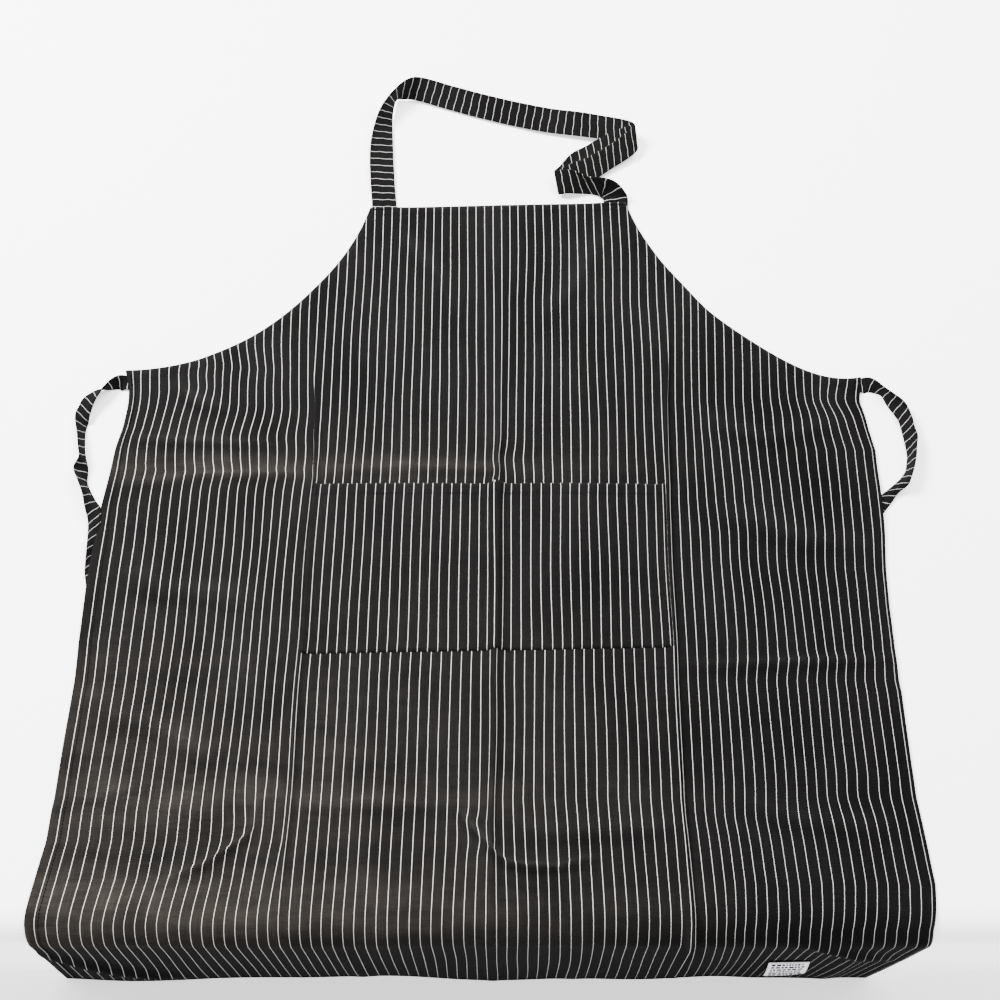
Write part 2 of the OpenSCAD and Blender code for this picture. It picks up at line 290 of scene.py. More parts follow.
def tuck(u, v, pts, depth, reach):
    """Cloth drawn in from both sides of a bent line."""
    best = np.full(len(u), 1e9)
    gx, gy, place = np.zeros(len(u)), np.zeros(len(u)), np.zeros(len(u))
    total = sum(math.dist(a, b) for a, b in zip(pts, pts[1:]))
    run = 0.0
    for (ax, ay), (bx, by) in zip(pts, pts[1:]):
        dx, dy = bx - ax, by - ay
        t = np.clip(((u - ax) * dx + (v - ay) * dy) / (dx * dx + dy * dy), 0, 1)
        ox, oy = u - ax - t * dx, v - ay - t * dy
        d = np.hypot(ox, oy)
        near = d < best
        gx, gy = np.where(near, ox, gx), np.where(near, oy, gy)
        place = np.where(near, (run + t * math.hypot(dx, dy)) / total, place)
        best = np.minimum(best, d)
        run += math.hypot(dx, dy)
    pull = depth * np.sin(np.pi * np.clip(place, 0.0, 1.0)) ** 0.7 * np.exp(-best / reach)
    pull = pull * (1 - np.exp(-((best / 1.6) ** 2)))
    return -gx / np.maximum(best, 1e-6) * pull, -gy / np.maximum(best, 1e-6) * pull


# Tucks and creases are listed one by one, some from a place in the photo turned into millimetres.
TUCKS = [
    ([(-20, -346), (-8, -366), (4, -375), (14, -381), (28, -384), (54, -385), (74, -379), (92, -374)],
     1.9, 16.0),
    ([(-196, -318), (-204, -358), (-234, -381), (-272, -399)], 2.2, 18.0),
    ([(-352, -14), (-300, -30), (-262, -28), (-170, -27)], 1.6, 14.0),
    ([(-300, 12), (-240, 6), (-190, 4)], 1.4, 10.0),
    ([(170, -212), (250, -210), (352, -206)], 1.4, 12.0),
]
CREASES = [
    # points in the cut, height, width, sharpness
    ([(-352, 10), (-290, 6), (-215, 4)], 1.4, 5.0, 1.2),
    ([(-345, -38), (-280, -30), (-180, -28)], 1.8, 6.0, 1.3),
    ([(-150, -22), (-60, -20), (10, -24)], 1.0, 6.0, 1.2),
    ([(168, -214), (240, -212), (350, -208)], 1.6, 6.0, 1.3),
    ([(-175, -335), (-110, -332), (-30, -336)], 1.3, 7.0, 1.2),
    ([(20, -356), (120, -352), (155, -350)], 1.0, 8.0, 1.2),
    ([(-18, -355), (-7, -366), (4, -375), (14, -381), (28, -384), (54, -385), (74, -379), (86, -377)],
     2.6, 4.6, 1.3),
    ([(-198, -330), (-206, -360), (-234, -381), (-268, -397)], 2.4, 5.0, 1.3),
    ([(-30, -338), (-20, -352), (-12, -362)], 2.2, 4.0, 1.2),
    ([(215, -330), (260, -345), (330, -352)], 0.8, 9.0, 1.2),
    ([(-352, -250), (-300, -262), (-230, -300)], 1.2, 10.0, 1.2),
    ([(205, 30), (260, 12), (330, 30)], 0.9, 9.0, 1.2),
    ([(-320, 66), (-300, 50), (-262, 40)], 1.6, 6.0, 1.2),
    ([(210, -60), (280, -90), (350, -100)], 0.7, 12.0, 1.1),
    ([(-345, -120), (-300, -140), (-220, -150)], 0.7, 12.0, 1.1),
    ([(-110, 262), (-60, 200), (-40, 120)], 0.8, 12.0, 1.1),
    ([(110, 262), (80, 190), (40, 140)], 0.8, 12.0, 1.1),
    ([(-362, -486), (-320, -528), (-262, -584)], 5.0, 9.0, 1.2),
    ([(262, -456), (298, -474), (345, -508)], 4.0, 8.0, 1.2),
    ([(-120, -470), (-118, -520), (-112, -600)], 2.4, 10.0, 1.1),
    ([(60, -470), (64, -520), (70, -600)], 2.2, 12.0, 1.1),
    ([(300, -470), (308, -520), (314, -600)], 2.6, 10.0, 1.1),
]

ON_TOP = 17              # the first creases in the list lie on the counter, the others hang


def painted_crease_light_shade(u, v):
    """Painted light and shade along the creases: above 0 on their crests, a painted highlight, below 0 just
    under them, painted shade.
    """
    out = np.zeros(len(u))
    for pts, height, width, sharp in CREASES[:ON_TOP]:
        much = min(1.0, 0.25 + 0.3 * height)
        out = out + much * path_ridge(u, v - 1.0, pts, 1.1, 0.7 * width, sharp)
        out = out - much * path_ridge(u, v + 1.3 * width, pts, 0.75, 0.7 * width, sharp)
    return np.clip(out, -0.6, 1.4)


def lay(u, v, edge=None):
    """Where a point of the cut comes to lie, in millimetres."""
    u = np.asarray(u, float)
    v = np.asarray(v, float)
    if edge is None:
        edge = from_edge(u, v)
    x, y, h = fields(u, v)
    x = x + wander(u, v)
    for pts, depth, reach in TUCKS:
        dx, dy = tuck(u, v, pts, depth, reach)
        x, y = x + dx, y + dy
    h = h + 0.5 * roll(u, v, 10, 6, 190.0) + 0.16 * roll(u, v, 16, 8, 70.0)
    for pts, height, width, sharp in CREASES:
        h = h + path_ridge(u, v, pts, 1.25 * height, width, sharp)
    # the turned edge is thicker, dips at its stitching and droops to the counter
    side = bump(u, LEFT_SIDE, 30) + bump(u, RIGHT_SIDE, 30)
    tabs = bump(np.abs(u), 118, 20) * bump(v, 284, 20) + side * bump(v, WAIST_Y, 26)
    under = bump(u, LEFT_SIDE, 34) * bump(v, -122, 46) + bump(u, RIGHT_SIDE, 34) * bump(v, -60, 30)
    tabs = tabs + 1.3 * under
    h = h + 0.9 * under
    h = h + 0.7 * (1 - step(edge, HEM - 1.2, HEM + 1.6)) - 0.35 * bump(edge, SEAM, 1.0)
    h = h - 1.5 * np.exp(-edge / 9.0) * (1 - np.clip(tabs, 0, 1))
    # past the bend the cloth hangs, swings a little to the left and waves
    s = BEND_Y - y
    hang = np.clip((s - ARC) / (BEND_Z), 0, 1)
    x = x - 9.0 * hang * step(-u, 150, 360) - 23.0 * hang * step(u, 180, 356)
    h = h + hang * (1.2 + 1.6 * np.sin(u / 58.0 + 0.6) + 0.8 * np.sin(u / 23.0 + 2.0))
    h = h * (1 - 0.85 * bump(u, 246, 32) * step(-v, 470, 500))
    flat = s <= 0
    bent = (s > 0) & (s < ARC)
    a = np.clip(s / BEND_R, 0, math.pi / 2)
    r = BEND_R + h
    py = np.where(flat, y, BEND_Y - r * np.sin(a))
    pz = np.where(flat, MID_Z + h, BEND_Z + r * np.cos(a) - np.where(bent | flat, 0.0, s - ARC))
    return np.stack([x, py, pz], axis=1)


def surf(u, v, off=0.0):
    """A point on the laid cloth, off millimetres out of its face."""
    u = np.asarray(u, float)
    v = np.asarray(v, float)
    edge = from_edge(u, v)
    p = lay(u, v, edge)
    du = lay(u + 0.6, v, edge) - lay(u - 0.6, v, edge)
    dv = lay(u, v + 0.6, edge) - lay(u, v - 0.6, edge)
    n = np.cross(du, dv)
    n = n / np.maximum(np.linalg.norm(n, axis=1), 1e-9)[:, None]
    return p + n * np.asarray(off, float).reshape(-1, 1)


# ---------------------------------------------------------------- meshes
def add_mesh(name, points, faces, uv=None, material=None, smooth=True):
    """points in millimetres; uv one pair per point, in millimetres of the cut."""
    me = bpy.data.meshes.new(name)
    me.from_pydata([tuple(p) for p in (np.asarray(points) * MM)], [], faces)
    if uv is not None:
        layer = me.uv_layers.new(name="cut")
        loops = np.zeros(len(me.loops), int)
        me.loops.foreach_get("vertex_index", loops)
        layer.data.foreach_set("uv", (np.asarray(uv, float)[loops] * MM).ravel())
    me.polygons.foreach_set("use_smooth", [smooth] * len(me.polygons))
    me.update()
    ob = bpy.data.objects.new(name, me)
    scene.collection.objects.link(ob)
    if material is not None:
        me.materials.append(material)
    return ob


def inside(pts, poly):
    x, y = pts[:, 0], pts[:, 1]
    out = np.zeros(len(pts), bool)
    for (ax, ay), (bx, by) in zip(poly, np.roll(poly, -1, axis=0)):
        if ay == by:
            continue
        hit = (ay > y) != (by > y)
        out ^= hit & (x < (bx - ax) * (y - ay) / (by - ay) + ax)
    return out


def spaced(start, end, gap, fine):
    """Grid lines from start to end, closer together in the fine stretches (from, to, gap)."""
    out = [start]
    while out[-1] < end:
        here = gap
        for a, b, g in fine:
            if a <= out[-1] < b:
                here = g
            elif out[-1] < a < out[-1] + here:
                here = max(a - out[-1], 0.4)
        out.append(out[-1] + here)
    return out[:-1]


def cut_mesh(poly, us, vs, clear):
    """Triangles that fill a flat outline, on grid lines us and vs."""
    grid = np.array([(a, b) for b in vs for a in us])
    ring = np.asarray(poly, float)
    grid = grid[inside(grid, ring)]
    near = np.full(len(grid), 1e9)
    for (ax, ay), (bx, by) in zip(ring, np.roll(ring, -1, axis=0)):
        dx, dy = bx - ax, by - ay
        t = np.clip(((grid[:, 0] - ax) * dx + (grid[:, 1] - ay) * dy) / (dx * dx + dy * dy + 1e-9), 0, 1)
        near = np.minimum(near, np.hypot(grid[:, 0] - ax - t * dx, grid[:, 1] - ay - t * dy))
    grid = grid[near > clear]
    pts = [tuple(p) for p in ring] + [tuple(p) for p in grid]
    n = len(ring)
    out = delaunay_2d_cdt(pts, [(i, (i + 1) % n) for i in range(n)], [], 1, 1e-4)
    return np.array([(p[0], p[1]) for p in out[0]]), [tuple(f) for f in out[2]]


def thicken(ob, amount):
    m = ob.modifiers.new("thickness", "SOLIDIFY")
    m.thickness = amount * MM
    m.offset = 0.0
    m.use_even_offset = False


def tube_faces(rings, sides, closed_ends=True):
    faces = []
    for i in range(rings - 1):
        for k in range(sides):
            a, b = i * sides + k, i * sides + (k + 1) % sides
            faces.append((a, b, b + sides, a + sides))
    if closed_ends:
        faces.append(tuple(range(sides))[::-1])
        faces.append(tuple(range((rings - 1) * sides, rings * sides)))
    return faces


def hem_strip(name, edge_key, material, node, trim=(0.0, 0.0)):
    """The cloth's edge turned over twice: a rounded edge with its layers lying under the cloth."""
    path = np.array(EDGES[edge_key])
    d = np.gradient(path, axis=0)
    d /= np.linalg.norm(d, axis=1)[:, None]
    inward = np.stack([d[:, 1], -d[:, 0]], axis=1)
    profile = [(0.5, 0.1), (-0.35, -0.1), (-0.75, -0.55), (-0.6, -1.15), (0.2, -1.5), (3.5, -1.55),
               (7.0, -1.5), (HEM - 0.8, -1.45), (HEM - 0.2, -1.05), (HEM - 0.8, -0.62),
               (7.0, -0.55), (3.5, -0.5)]
    n = len(path)
    pts, uvs = [], []
    for a, z in profile:
        # at the corners a strip's inner side stops where its neighbour's begins
        ins = np.clip(a, 0.0, None)
        q = path + inward * ins
        if ins.max() > 0 and trim[0] > 0:
            q = q + d * (np.maximum(0, ins * trim[0] - np.arange(n) * 4.0)[:, None])
        if ins.max() > 0 and trim[1] > 0:
            q = q - d * (np.maximum(0, ins * trim[1] - (n - 1 - np.arange(n)) * 4.0)[:, None])
        p = surf(q[:, 0], q[:, 1], z)
        if a < 0:
            inner = surf(q[:, 0] + inward[:, 0] * 2, q[:, 1] + inward[:, 1] * 2, z)
            out = p - inner
            out /= np.linalg.norm(out, axis=1)[:, None]
            p = p + out * (-a)
        pts.append(p)
        uvs.append(np.stack([q[:, 0], q[:, 1]], axis=1))
    pts = np.stack(pts, axis=1).reshape(-1, 3)
    uvs = np.stack(uvs, axis=1).reshape(-1, 2)
    ob = add_mesh(name, pts, tube_faces(n, len(profile)), uvs, material)
    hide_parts(node)
    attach(ob, "root")
    return ob


def stitches(pieces, radius=0.3, sides=5):
    """Small rounded stitches. pieces is a list of (start, end, up) in millimetres."""
    pts, faces = [], []
    for a, b, up in pieces:
        a, b, up = np.asarray(a), np.asarray(b), np.asarray(up)
        d = b - a
        length = np.linalg.norm(d)
        if length < 1e-6:
            continue
        d = d / length
        w = np.cross(up, d)
        w = w / max(np.linalg.norm(w), 1e-9)
        base = len(pts)
        for t, r, sink in ((0.0, 0.35, -0.25), (0.22, 1.0, 0.0), (0.78, 1.0, 0.0), (1.0, 0.35, -0.25)):
            c = a + d * length * t + up * sink
            for k in range(sides):
                g = 2 * math.pi * k / sides
                pts.append(c + radius * r * (math.cos(g) * w + math.sin(g) * up * 0.8))
        faces += [tuple(base + i for i in f) for f in tube_faces(4, sides)]
    return pts, faces


def seam_on_cloth(path, off=0.45, pitch=2.7, length=1.9, jitter=0.12, over=None):
    """Stitches along a line in the cut."""
    path = np.asarray(path, float)
    seg = np.hypot(*np.diff(path, axis=0).T)
    run = np.concatenate([[0], np.cumsum(seg)])
    count = int(run[-1] / pitch)
    at = (np.arange(count) + 0.5) * run[-1] / max(count, 1)
    a, b = at - length / 2, at + length / 2
    ends = []
    for t in (a, b):
        ends.append(np.stack([np.interp(t, run, path[:, 0]), np.interp(t, run, path[:, 1])], axis=1))
    rng = np.random.default_rng(len(path) + count)
    slip = rng.normal(0, jitter, (count, 2))
    on = over or surf
    p0 = on(ends[0][:, 0] + slip[:, 0], ends[0][:, 1] + slip[:, 1], off)
    p1 = on(ends[1][:, 0] + slip[:, 0], ends[1][:, 1] + slip[:, 1], off)
    p2 = on(ends[0][:, 0] + slip[:, 0], ends[0][:, 1] + slip[:, 1], off + 1.0)
    up = p2 - p0
    up /= np.linalg.norm(up, axis=1)[:, None]
    return list(zip(p0, p1, up))


def thread_piece(name, node, parts, material, body="root", radius=0.3):
    pts, faces = stitches(parts, radius)
    ob = add_mesh(name, pts, faces, None, material)
    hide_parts(node)
    if body:
        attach(ob, body)
    return ob


# ---------------------------------------------------------------- materials
def shader(name):
    m = bpy.data.materials.new(name)
    m.use_nodes = True
    return m, m.node_tree.nodes, m.node_tree.links, m.node_tree.nodes["Principled BSDF"]


def math_node(nodes, links, op, a, b=None, c=None):
    n = nodes.new("ShaderNodeMath")
    n.operation = op
    for i, x in enumerate((a, b, c)):
        if x is None:
            continue
        if isinstance(x, (int, float)):
            n.inputs[i].default_value = x
        else:
            links.new(x, n.inputs[i])
    return n.outputs[0]


def mix_node(nodes, links, factor, a, b, blend="MIX"):
    """Colour a mixed with b, or multiplied by it."""
    n = nodes.new("ShaderNodeMix")
    n.data_type = "RGBA"
    n.blend_type = blend
    for key, x in (("Factor", factor), ("A", a), ("B", b)):
        if isinstance(x, (int, float, tuple)):
            n.inputs[key].default_value = x
        else:
            links.new(x, n.inputs[key])
    return n.outputs["Result"]


# painted sheen: how much of a lighter brown tint, standing in for light caught on the folds and on the bend
# over the counter's edge, lies along the cloth's length, as (place on the ramp, share)
PAINTED_SHEEN_BANDS = (
    (0.204, 0.7), (0.222, 1.0), (0.243, 0.75), (0.262, 0.45), (0.296, 0.3), (0.318, 0.7), (0.345, 0.35),
    (0.5, 0.1), (0.605, 0.05), (0.628, 0.55), (0.645, 0.1), (0.7, 0.0),
)


# painted_sheen_and_shade turns on the painted sheen bands, the painted light and shade along the creases, and
# the painted shade on the right side and on the hanging flap
def cloth_material(name, shift=0.0, painted_sheen_and_shade=True, line=0.0255,
                   dark=(0.0045, 0.0043, 0.0043), light=(0.46, 0.455, 0.44)):
    """Black twill with off-white stripes. The map holds the cut in metres; stripes run along its
    second axis."""
    m, nodes, links, bsdf = shader(name)
    uv = nodes.new("ShaderNodeUVMap")
    uv.uv_map = "cut"
    sep = nodes.new("ShaderNodeSeparateXYZ")
    links.new(uv.outputs[0], sep.inputs[0])
    ux, vy = sep.outputs[0], sep.outputs[1]

    def noise(sx, sy, scale, detail, rough=0.5):
        mp = nodes.new("ShaderNodeMapping")
        mp.inputs["Scale"].default_value = (sx, sy, 1.0)
        links.new(uv.outputs[0], mp.inputs[0])
        t = nodes.new("ShaderNodeTexNoise")
        t.noise_dimensions = "2D"
        t.inputs["Scale"].default_value = scale
        t.inputs["Detail"].default_value = detail
        t.inputs["Roughness"].default_value = rough
        links.new(mp.outputs[0], t.inputs["Vector"])
        return t.outputs["Fac"]

    # place within one stripe repeat, with the yarns a little uneven
    wobble = math_node(nodes, links, "MULTIPLY_ADD", noise(1.0, 1.0, 260.0, 2.0), 0.00022, -0.00011)
    at = math_node(nodes, links, "ADD", ux, wobble)
    at = math_node(nodes, links, "ADD", at, (PITCH / 2 - STRIPE_0 + shift + 100 * PITCH) * MM)
    cycle = math_node(nodes, links, "FRACT", math_node(nodes, links, "DIVIDE", at, PITCH * MM))
    away = math_node(nodes, links, "ABSOLUTE", math_node(nodes, links, "SUBTRACT", cycle, 0.5))
    ramp = nodes.new("ShaderNodeMapRange")
    ramp.interpolation_type = "SMOOTHSTEP"
    ramp.inputs["From Min"].default_value = line + 0.007
    ramp.inputs["From Max"].default_value = line - 0.007
    links.new(away, ramp.inputs["Value"])
    stripe = ramp.outputs["Result"]
    # lengthwise yarn streaks and slow mottling of the black
    streak = noise(1.0, 0.03, 1500.0, 2.0, 0.6)
    mottle = noise(1.0, 0.6, 16.0, 3.0)
    tone = math_node(nodes, links, "MULTIPLY_ADD", streak, 0.9, 0.55)
    mottled = math_node(nodes, links, "MULTIPLY_ADD", mottle, 0.9, 0.55)
    tone = math_node(nodes, links, "MULTIPLY", tone, mottled)
    weft = noise(0.04, 1.0, 1100.0, 2.0, 0.6)
    tone = math_node(nodes, links, "MULTIPLY", tone, math_node(nodes, links, "MULTIPLY_ADD", weft, 0.7, 0.65))
    colour = mix_node(nodes, links, 1.0, (*dark, 1), tone, "MULTIPLY")
    if painted_sheen_and_shade:
        # painted sheen: lighter, slightly brown, patchy bands where light catches the folds and the bend,
        # strongest on the left towards the key light
        sheen_bands = nodes.new("ShaderNodeValToRGB")
        place = math_node(nodes, links, "MULTIPLY_ADD", vy, 1.0, 0.65)
        links.new(place, sheen_bands.inputs["Fac"])
        cr = sheen_bands.color_ramp
        cr.elements[0].position, cr.elements[0].color = 0.0, (0, 0, 0, 1)
        cr.elements[1].position, cr.elements[1].color = 0.188, (0, 0, 0, 1)
        for pos, val in PAINTED_SHEEN_BANDS:
            e = cr.elements.new(pos)
            e.color = (val, val, val, 1)
        # the painted sheen fades out towards the right, away from the key light
        side = nodes.new("ShaderNodeMapRange")
        side.inputs["From Min"].default_value = 0.22
        side.inputs["From Max"].default_value = -0.30
        links.new(ux, side.inputs["Value"])
        amount = math_node(nodes, links, "MULTIPLY", sheen_bands.outputs["Color"], side.outputs["Result"])
        sheen_patches = math_node(nodes, links, "MULTIPLY_ADD", noise(0.7, 2.4, 17.0, 4.0, 0.6), 2.2, -0.35)
        amount = math_node(nodes, links, "MULTIPLY", amount, sheen_patches)
        # the painted sheen's lighter brown tint
        sheen_tint = mix_node(nodes, links, 1.0, (0.022, 0.0190, 0.0163, 1), tone, "MULTIPLY")
        colour = mix_node(nodes, links, amount, colour, sheen_tint)
    uneven = math_node(nodes, links, "MULTIPLY_ADD", noise(1.0, 1.0, 420.0, 2.0), 0.35, 0.80)
    pale_yarn = mix_node(nodes, links, 1.0, (*light, 1), uneven, "MULTIPLY")
    out = mix_node(nodes, links, stripe, colour, pale_yarn)
    if painted_sheen_and_shade:
        # painted highlight on the creases' crests and painted shade just under them
        crease_light_shade = nodes.new("ShaderNodeAttribute")
        crease_light_shade.attribute_name = "crease_light_shade"
        crease_light_factor = math_node(nodes, links, "MULTIPLY_ADD", crease_light_shade.outputs["Fac"], 0.6, 1.0)
        out = mix_node(nodes, links, 1.0, out, crease_light_factor, "MULTIPLY")
        # painted shade: darker towards the right side, away from the key light, and where the cloth hangs
        # down the counter's front, away from the lights
        for axis, start, end, darkest in ((ux, 0.04, 0.28, 0.76), (vy, -0.440, -0.462, 0.60)):
            painted_shade = nodes.new("ShaderNodeMapRange")
            painted_shade.inputs["From Min"].default_value = start
            painted_shade.inputs["From Max"].default_value = end
            painted_shade.inputs["To Min"].default_value = 1.0
            painted_shade.inputs["To Max"].default_value = darkest
            links.new(axis, painted_shade.inputs["Value"])
            out = mix_node(nodes, links, 1.0, out, painted_shade.outputs["Result"], "MULTIPLY")
    links.new(out, bsdf.inputs["Base Color"])
    # twill: fine slanting ribs
    mp = nodes.new("ShaderNodeMapping")
    mp.inputs["Rotation"].default_value = (0, 0, math.radians(62))
    links.new(uv.outputs[0], mp.inputs[0])
    rib = nodes.new("ShaderNodeTexWave")
    rib.inputs["Scale"].default_value = 480.0
    rib.inputs["Distortion"].default_value = 0.6
    links.new(mp.outputs[0], rib.inputs["Vector"])
    bmp = nodes.new("ShaderNodeBump")
    bmp.inputs["Strength"].default_value = 0.35
    bmp.inputs["Distance"].default_value = 0.00008
    links.new(rib.outputs["Fac"], bmp.inputs["Height"])
    links.new(bmp.outputs["Normal"], bsdf.inputs["Normal"])
    bsdf.inputs["Roughness"].default_value = 0.88
    bsdf.inputs["Specular IOR Level"].default_value = 0.0
    bsdf.inputs["Sheen Weight"].default_value = 0.02
    bsdf.inputs["Sheen Roughness"].default_value = 0.45
    return m


def plain(name, colour, rough=0.8, sheen=0.0):
    m, nodes, links, bsdf = shader(name)
    bsdf.inputs["Base Color"].default_value = (*colour, 1)
    bsdf.inputs["Roughness"].default_value = rough
    bsdf.inputs["Specular IOR Level"].default_value = 0.0
    bsdf.inputs["Sheen Weight"].default_value = sheen
    return m


cloth = cloth_material("striped_twill")
pocket_cloth = cloth_material("striped_twill_pocket", shift=3.3)
band_cloth = cloth_material("striped_twill_band", painted_sheen_and_shade=False, light=(0.40, 0.395, 0.38), line=0.022)
thread = plain("black_thread", (0.0032, 0.0031, 0.0032), 0.9)
tape = plain("label_tape", (0.66, 0.65, 0.69), 0.7)
ink = plain("label_print", (0.004, 0.005, 0.016), 0.8)

# ---------------------------------------------------------------- apron cloth
us = spaced(LEFT_SIDE + 4, RIGHT_SIDE - 1, 5.0, [(-184, -160, 1.7), (-15, 15, 1.8), (148, 171, 1.7)])
fine_rows = [(-462, -410, 3.0), (-402, -322, 2.8), (-222, -200, 3.0), (-45, 15, 3.0)]
vs = spaced(FOOT_V + 4, BIB_Y - 1, 4.8, fine_rows)
flat_pts, tris = cut_mesh(OUTLINE, us, vs, 1.8)
body = surf(flat_pts[:, 0], flat_pts[:, 1], 0.0)
apron = add_mesh("apron_cloth", body, tris, flat_pts, cloth)
# painted light and shade along the creases, kept on each point for the material
crease_light_shade_layer = apron.data.attributes.new("crease_light_shade", "FLOAT", "POINT")
crease_light_shade_layer.data.foreach_set("value", painted_crease_light_shade(flat_pts[:, 0], flat_pts[:, 1]))
thicken(apron, CLOTH_T)
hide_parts("body_panel")
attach(apron, "root")

hems = [
    hem_strip("bib_top_hem_fold", "bib_top", cloth, "bib_top_hem", (0.9, 0.9)),
    hem_strip("right_armhole_hem_fold", "right_arm", cloth, "right_armhole_hem", (0.7, 0.3)),
    hem_strip("right_side_hem_fold", "right_side", cloth, "right_side_hem", (0.9, 0.9)),
    hem_strip("bottom_hem_fold", "bottom", cloth, "bottom_hem", (0.9, 0.9)),
    hem_strip("left_side_hem_fold", "left_side", cloth, "left_side_hem", (0.9, 0.9)),
    hem_strip("left_armhole_hem_fold", "left_arm", cloth, "left_armhole_hem", (0.3, 0.7)),
]


def inset(key, by, cut_ends=(0, 0)):
    path = np.array(EDGES[key])
    d = np.gradient(path, axis=0)
    d /= np.linalg.norm(d, axis=1)[:, None]
    line = path + np.stack([d[:, 1], -d[:, 0]], axis=1) * by
    return line[cut_ends[0] : len(line) - cut_ends[1]]


for name, node, key, ends in (
    ("bib_hem_seam", "bib_hem_stitching", "bib_top", (1, 1)),
    ("right_armhole_seam", "right_armhole_stitching", "right_arm", (3, 2)),
    ("right_side_seam", "right_side_stitching", "right_side", (2, 2)),
    ("bottom_hem_seam", "bottom_hem_stitching", "bottom", (1, 1)),
    ("left_side_seam", "left_side_stitching", "left_side", (2, 2)),
    ("left_armhole_seam", "left_armhole_stitching", "left_arm", (2, 3)),
):
    by = SEAM + (1.2 if key == "left_side" else 0.0)
    thread_piece(name, node, seam_on_cloth(inset(key, by, ends)), thread)

# ---------------------------------------------------------------- pocket
P0, P1, Q0, Q1 = POCKET


def patch_full(u, v):
    """1 where the patch has its whole thickness, 0 at its sewn edges."""
    d = np.minimum(np.minimum(u - P0, P1 - u) + 30.0 * step(v, Q1 - 24, Q1 - 12), v - Q0)
    return step(d, -0.5, 2.6)


def pocket_surf(u, v, off=0.0):
    """A point on the patch, which lies on the cloth and stands off it a little at its mouth."""
    u = np.asarray(u, float)
    v = np.asarray(v, float)
    open_ = np.clip((v - Q0) / (Q1 - Q0), 0, 1) ** 1.6
    mid = 0.5
    lobe = np.where(u < mid, (u - P0) / (mid - P0), (u - mid) / (P1 - mid))
    swell = np.sin(np.pi * np.clip(lobe, 0, 1))
    puff = 2.2 * swell**0.7 * open_ + 0.5 * swell**0.5 * step(v - Q0, 0, 24)
    ridge = 1.6 * bump(u, mid, 6.0) * open_
    tilt = 6.0 * (u - P0) / (P1 - P0) * (1 - (v - Q0) / (Q1 - Q0))
    rim = 0.25 * bump(np.minimum(np.minimum(u - P0, P1 - u), v - Q0), 3.2, 1.4)
    mouth = 0.5 * step(v, Q1 - HEM - 1.0, Q1 - HEM + 1.0) - 0.3 * bump(v, Q1 - SEAM - 0.7, 0.9)
    pull = 1.5 * step(u, 15, 60) * (1 - step(u, 150, 158))
    thin = 0.26 * (1 - patch_full(u, v))
    return surf(u + pull, v + tilt, 0.76 - thin + puff + ridge + rim + mouth + np.asarray(off, float))


def round_box(x0, x1, y0, y1, gap):
    out = []
    for a, b in (((x0, y1), (x1, y1)), ((x1, y1), (x1, y0)), ((x1, y0), (x0, y0)), ((x0, y0), (x0, y1))):
        out += straight(a, b, gap)[:-1]
    return np.array(out)


pu = spaced(P0 + 3, P1 - 1, 5.0, [(-14, 14, 1.8)])
pv = spaced(Q0 + 3, Q1 - 1, 4.6, [(Q1 - 14, Q1, 2.4)])
patch_flat, patch_tris = cut_mesh(round_box(P0, P1, Q0, Q1, 3.0), pu, pv, 1.4)
patch_pts = pocket_surf(patch_flat[:, 0], patch_flat[:, 1])
patch = add_mesh("pocket_patch_cloth", patch_pts, patch_tris, patch_flat, pocket_cloth)
thicken(patch, CLOTH_T)
group = patch.vertex_groups.new(name="full")
for i, w in enumerate(patch_full(patch_flat[:, 0], patch_flat[:, 1])):
    group.add([i], 0.35 + 0.65 * float(w), "REPLACE")
patch.modifiers["thickness"].vertex_group = "full"
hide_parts("pocket_patch")
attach(patch, "root")


def mouth_fold():
    """The patch's upper edge turned in: a rounded edge and the layer behind it."""
    us_ = np.linspace(P0 + 0.6, P1 - 0.6, 140)
    profile = [(0.4, 0.1), (-0.4, -0.1), (-0.75, -0.5), (-0.3, -0.85), (3.5, -0.95), (8.0, -0.9),
               (HEM - 0.3, -0.85), (HEM - 0.3, -0.45), (8.0, -0.42), (3.0, -0.40)]
    pts, uvs = [], []
    for a, z in profile:
        vv = np.full(len(us_), Q1 - max(a, 0.0))
        p = pocket_surf(us_, vv, z)
        if a < 0:
            p[:, 1] += -a
        pts.append(p)
        uvs.append(np.stack([us_, vv], axis=1))
    pts = np.stack(pts, axis=1).reshape(-1, 3)
    uvs = np.stack(uvs, axis=1).reshape(-1, 2)
    ob = add_mesh("pocket_mouth_fold", pts, tube_faces(len(us_), len(profile)), uvs, pocket_cloth)
    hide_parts("pocket_mouth_hem")
    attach(ob, "root")
    return ob


mouth_piece = mouth_fold()
on_patch = {"over": pocket_surf, "off": 0.45}
dense = {"pitch": 0.75, "length": 1.5}
edge_line = [(P0 + 2.4, Q1 - 2), (P0 + 2.4, Q0 + 2.6), (P1 - 2.4, Q0 + 2.6), (P1 - 2.4, Q1 - 2)]
mouth_line = straight((P0 + 3, Q1 - SEAM - 0.7), (P1 - 3, Q1 - SEAM - 0.7))
corner_bars = []
for x_bar in (P0 + 2.0, P1 - 2.0):
    corner_bars += seam_on_cloth([(x_bar, Q1 - 12), (x_bar, Q1 - 1)], **dense, **on_patch)
pocket_threads = [
    thread_piece("pocket_mouth_seam", "pocket_mouth_stitching",
                 seam_on_cloth(mouth_line, **on_patch), thread),
    thread_piece("pocket_edge_seam", "pocket_edge_stitching",
                 seam_on_cloth(edge_line, off=0.38, over=pocket_surf), thread, radius=0.13),
    thread_piece("pocket_divider_seam", "pocket_divider_stitching",
                 seam_on_cloth([(-4.0, Q0 + 3), (-4.0, Q1 - 2)], **on_patch), thread),
    thread_piece("pocket_corner_bars", "pocket_bartacks", corner_bars, thread),
]


